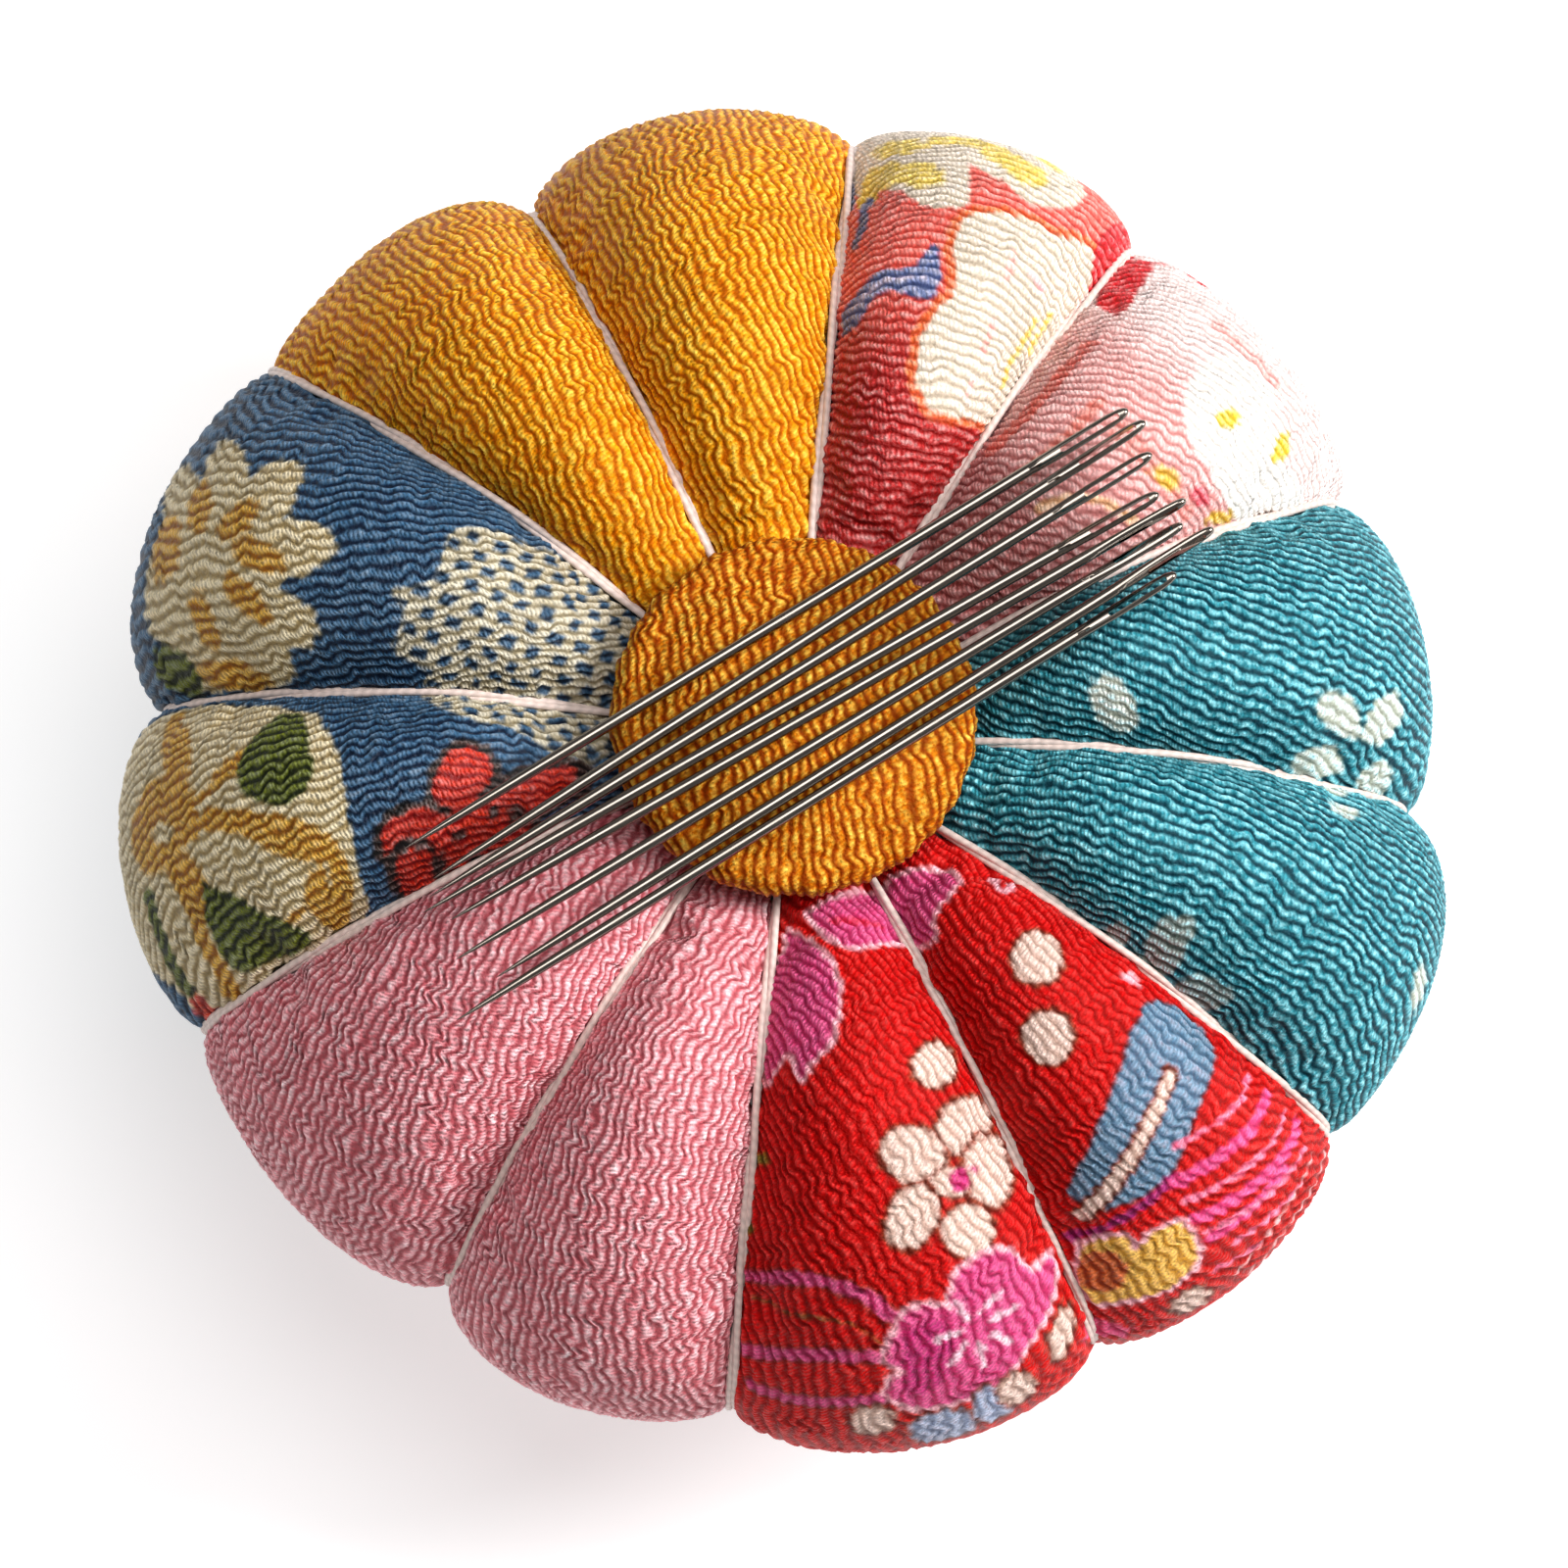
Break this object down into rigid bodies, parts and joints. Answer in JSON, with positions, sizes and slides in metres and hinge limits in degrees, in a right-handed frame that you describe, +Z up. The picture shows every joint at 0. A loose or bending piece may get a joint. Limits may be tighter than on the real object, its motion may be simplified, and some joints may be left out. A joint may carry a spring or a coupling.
{
  "type": "wrist pin cushion",
  "caption": "Round lobed pin cushion in several crepe fabrics, drawn in by threads to a covered button, on a felt base and an elastic wrist band, with loose needles on top.",
  "frame": {"origin": "on the resting plane, under the middle of the cushion's outline", "axes": "+Z up through the button, +X along the wrist band's length, the needles' eyes towards +X +Y"},
  "size_m": [0.0796, 0.0822, 0.0467],
  "materials": {
    "crepe_mustard": "ridged crepe, slight silk sheen",
    "crepe_blue": "ridged crepe, printed with flowers",
    "crepe_pink": "ridged crepe, slight silk sheen",
    "crepe_red": "ridged crepe, printed with flowers and dots",
    "crepe_teal": "ridged crepe, printed with small petals",
    "crepe_cloud": "ridged crepe, printed with pale clouds",
    "stuffing": "loose polyester fibre",
    "thread": "twisted, slight sheen",
    "felt": "matte wool felt",
    "felt_thread": "twisted cotton",
    "elastic": "ribbed knitted elastic",
    "guard_plastic": "sheet polypropylene",
    "needle_steel": "polished nickel-plated steel",
    "button_metal": "pressed sheet"
  },
  "bodies": {
    "wristband": {"wristband_lower_run": "elastic", "wristband_side_right": "elastic", "wristband_side_left": "elastic"},
    "cushion": {"cover_gore_cloud": "crepe_cloud", "cover_gore_mustard": "crepe_mustard", "cover_gore_blue_floral": "crepe_blue", "cover_gore_pink": "crepe_pink", "cover_gore_red_floral": "crepe_red", "cover_gore_teal": "crepe_teal", "stuffing": "stuffing", "groove_thread_01": "thread", "groove_thread_02": "thread", "groove_thread_03": "thread", "groove_thread_04": "thread", "groove_thread_05": "thread", "groove_thread_06": "thread", "groove_thread_07": "thread", "groove_thread_08": "thread", "groove_thread_09": "thread", "groove_thread_10": "thread", "groove_thread_11": "thread", "groove_thread_12": "thread", "centre_tie": "thread", "tie_knot": "thread", "button_cover": "crepe_mustard", "button_shell": "button_metal", "button_back": "button_metal", "button_shank": "button_metal", "needle_guard": "guard_plastic", "base_felt": "felt", "felt_stitching": "felt_thread", "wristband_upper_run": "elastic", "band_stitching_left": "thread", "band_stitching_right": "thread"},
    "needle_1": {"needle_1": "needle_steel"},
    "needle_2": {"needle_2": "needle_steel"},
    "needle_3": {"needle_3": "needle_steel"},
    "needle_4": {"needle_4": "needle_steel"},
    "needle_5": {"needle_5": "needle_steel"},
    "needle_6": {"needle_6": "needle_steel"},
    "needle_7": {"needle_7": "needle_steel"},
    "needle_8": {"needle_8": "needle_steel"}
  },
  "joints": [
    {"name": "band_opening", "type": "slide", "parent": "wristband", "child": "cushion", "axis": [0, 0, 1], "range_m": [0, 0.036], "stiffness_N_per_m": 60, "deforming": ["wristband_side_right", "wristband_side_left"]},
    {"name": "needle_1_lift", "type": "slide", "parent": "cushion", "child": "needle_1", "axis": [0, 0, 1], "range_m": [0, 0.03]},
    {"name": "needle_2_lift", "type": "slide", "parent": "cushion", "child": "needle_2", "axis": [0, 0, 1], "range_m": [0, 0.03]},
    {"name": "needle_3_lift", "type": "slide", "parent": "cushion", "child": "needle_3", "axis": [0, 0, 1], "range_m": [0, 0.03]},
    {"name": "needle_4_lift", "type": "slide", "parent": "cushion", "child": "needle_4", "axis": [0, 0, 1], "range_m": [0, 0.03]},
    {"name": "needle_5_lift", "type": "slide", "parent": "cushion", "child": "needle_5", "axis": [0, 0, 1], "range_m": [0, 0.03]},
    {"name": "needle_6_lift", "type": "slide", "parent": "cushion", "child": "needle_6", "axis": [0, 0, 1], "range_m": [0, 0.03]},
    {"name": "needle_7_lift", "type": "slide", "parent": "cushion", "child": "needle_7", "axis": [0, 0, 1], "range_m": [0, 0.03]},
    {"name": "needle_8_lift", "type": "slide", "parent": "cushion", "child": "needle_8", "axis": [0, 0, 1], "range_m": [0, 0.03]}
  ]
}
